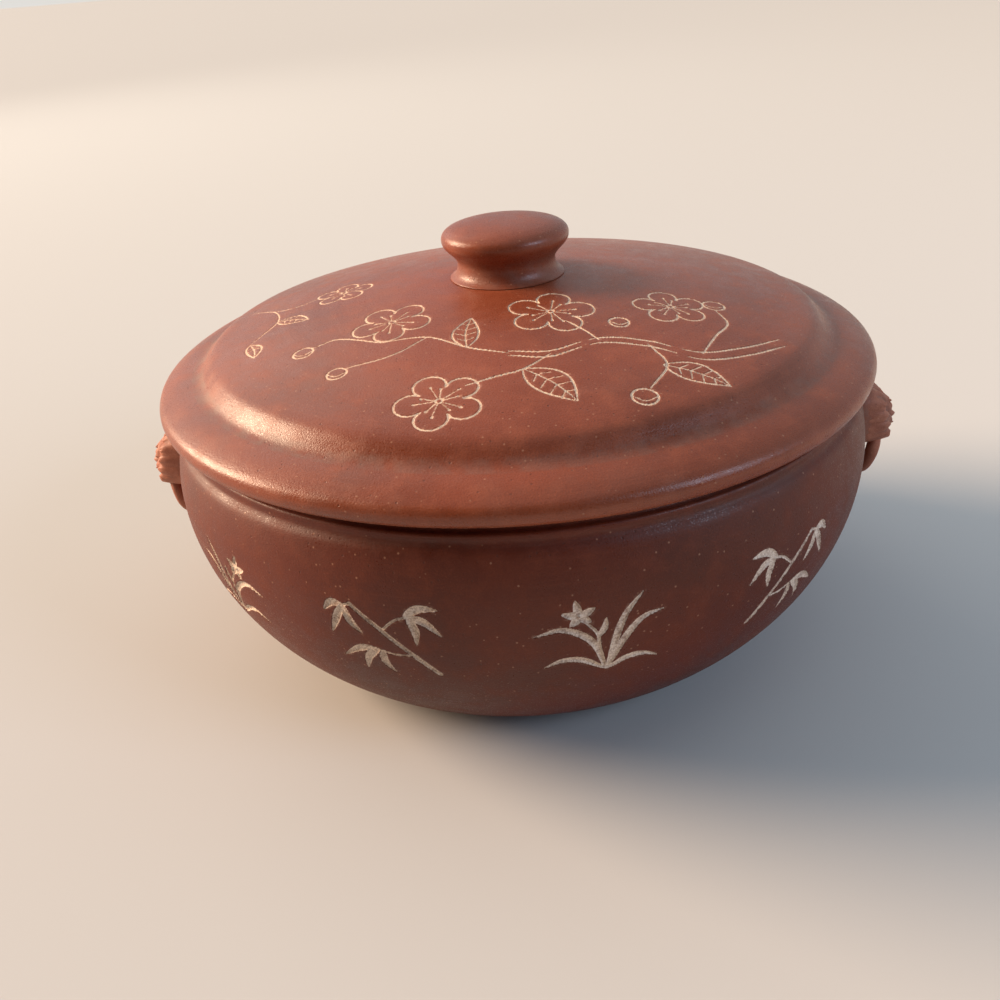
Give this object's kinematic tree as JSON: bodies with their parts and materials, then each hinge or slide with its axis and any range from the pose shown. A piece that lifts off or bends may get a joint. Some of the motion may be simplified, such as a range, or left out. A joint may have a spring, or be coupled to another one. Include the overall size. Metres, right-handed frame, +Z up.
{
  "type": "clay steam pot",
  "caption": "Round unglazed clay steam pot with a hollow central chimney, moulded mask lugs with fixed rings, and a domed lift-off lid with a mushroom knob.",
  "frame": {"origin": "on the table, under the middle of the foot ring", "axes": "+Z up along the pot's axis, +X through the middle of the right-hand mask lug, +Y away from the viewer"},
  "size_m": [0.2684, 0.2384, 0.141],
  "materials": {
    "burnished_clay": "unglazed red-brown clay, burnished to a satin sheen",
    "bare_clay": "unglazed red-brown clay, dry and fine-grained as it came from the kiln",
    "moulded_clay": "unglazed red-brown clay, press-moulded and matt"
  },
  "bodies": {
    "pot": {"pot_bowl": "burnished_clay", "foot_ring": "bare_clay", "steam_chimney": "bare_clay", "chimney_luting_coil": "bare_clay", "left_handle_mask": "moulded_clay", "left_handle_ring": "moulded_clay", "right_handle_mask": "moulded_clay", "right_handle_ring": "moulded_clay"},
    "lid": {"lid_dome": "burnished_clay", "lid_locating_ring": "bare_clay", "lid_knob": "burnished_clay"}
  },
  "joints": [
    {"name": "lid_lift", "type": "slide", "parent": "pot", "child": "lid", "axis": [0, 0, 1], "range_m": [0, 0.12]}
  ]
}
